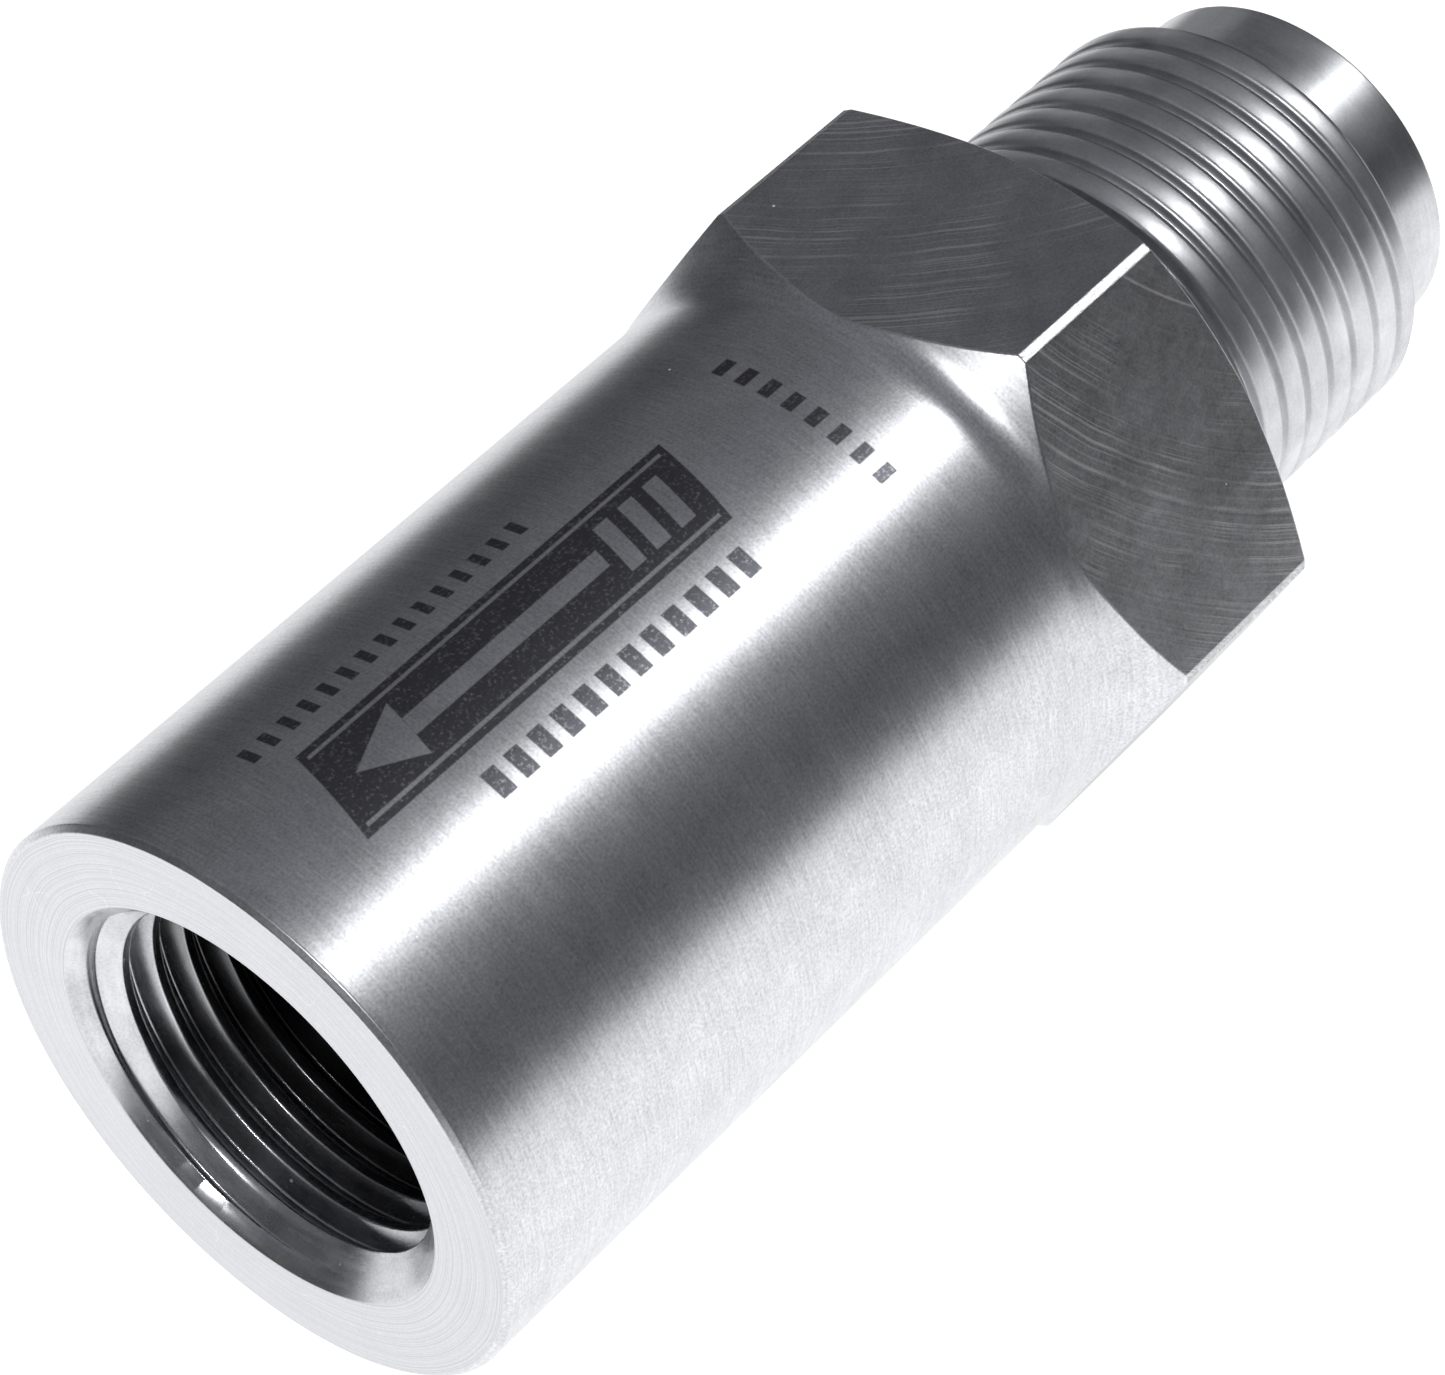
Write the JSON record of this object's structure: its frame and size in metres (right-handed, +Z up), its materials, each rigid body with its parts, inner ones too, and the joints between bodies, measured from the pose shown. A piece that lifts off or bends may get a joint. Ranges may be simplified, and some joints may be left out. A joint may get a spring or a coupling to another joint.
{
  "type": "pressure relief valve",
  "caption": "Adjustable high-pressure relief valve: hexagonal threaded body with a seat, ball, plunger, spring and adjusting screw inside.",
  "frame": {"origin": "on the valve's axis, in the plane of the hexagon's rail-side shoulder", "axes": "+X along the axis from the return port to the nose that enters the rail, +Z up with the valve lying on a flat of its hexagon"},
  "size_m": [0.0603, 0.0276, 0.024],
  "materials": {
    "body_steel": "turned satin stainless steel with milled flats",
    "hardened_steel": "ground",
    "copper": "soft annealed copper",
    "ball_steel": "polished bearing steel",
    "bronze": "machined bearing bronze",
    "spring_steel": "oil-tempered, dark",
    "shim_steel": "rolled strip",
    "black_steel": "black oxide, oiled"
  },
  "bodies": {
    "housing": {"valve_body": "body_steel", "seat_insert": "hardened_steel", "seat_gasket": "copper", "guide_sleeve": "bronze", "main_spring": "spring_steel", "retaining_ring": "spring_steel"},
    "lifter": {"valve_ball": "ball_steel", "plunger": "hardened_steel", "front_spring_seat": "hardened_steel"},
    "spring_stack": {"rear_spring_seat": "hardened_steel", "thick_shim": "shim_steel", "thin_shim": "shim_steel"},
    "adjuster": {"adjuster_screw": "black_steel"},
    "lock_washer": {"thrust_washer": "copper"},
    "lock": {"lock_screw": "black_steel"}
  },
  "joints": [
    {"name": "plunger_lift", "type": "slide", "parent": "housing", "child": "lifter", "axis": [-1, 0, 0], "range_m": [0, 0.00085], "stiffness_N_per_m": 400, "springref_m": -0.003, "deforming": ["main_spring"]},
    {"name": "preload_travel", "type": "slide", "parent": "housing", "child": "spring_stack", "axis": [1, 0, 0], "range_m": [0, 0.001], "deforming": ["main_spring"]},
    {"name": "adjuster_turn", "type": "hinge", "parent": "spring_stack", "child": "adjuster", "pos_m": [-0.0213, 0, 0], "axis": [1, 0, 0], "range_deg": [0, 360]},
    {"name": "lock_travel", "type": "slide", "parent": "housing", "child": "lock_washer", "axis": [-1, 0, 0], "range_m": [0, 0.001]},
    {"name": "lock_turn", "type": "hinge", "parent": "lock_washer", "child": "lock", "pos_m": [-0.0268, 0, 0], "axis": [-1, 0, 0], "range_deg": [0, 360]}
  ],
  "couplings": [
    {"joint": "adjuster_turn", "follows": "preload_travel", "rad_per_m": 6283},
    {"joint": "lock_turn", "follows": "lock_travel", "rad_per_m": 6283}
  ]
}
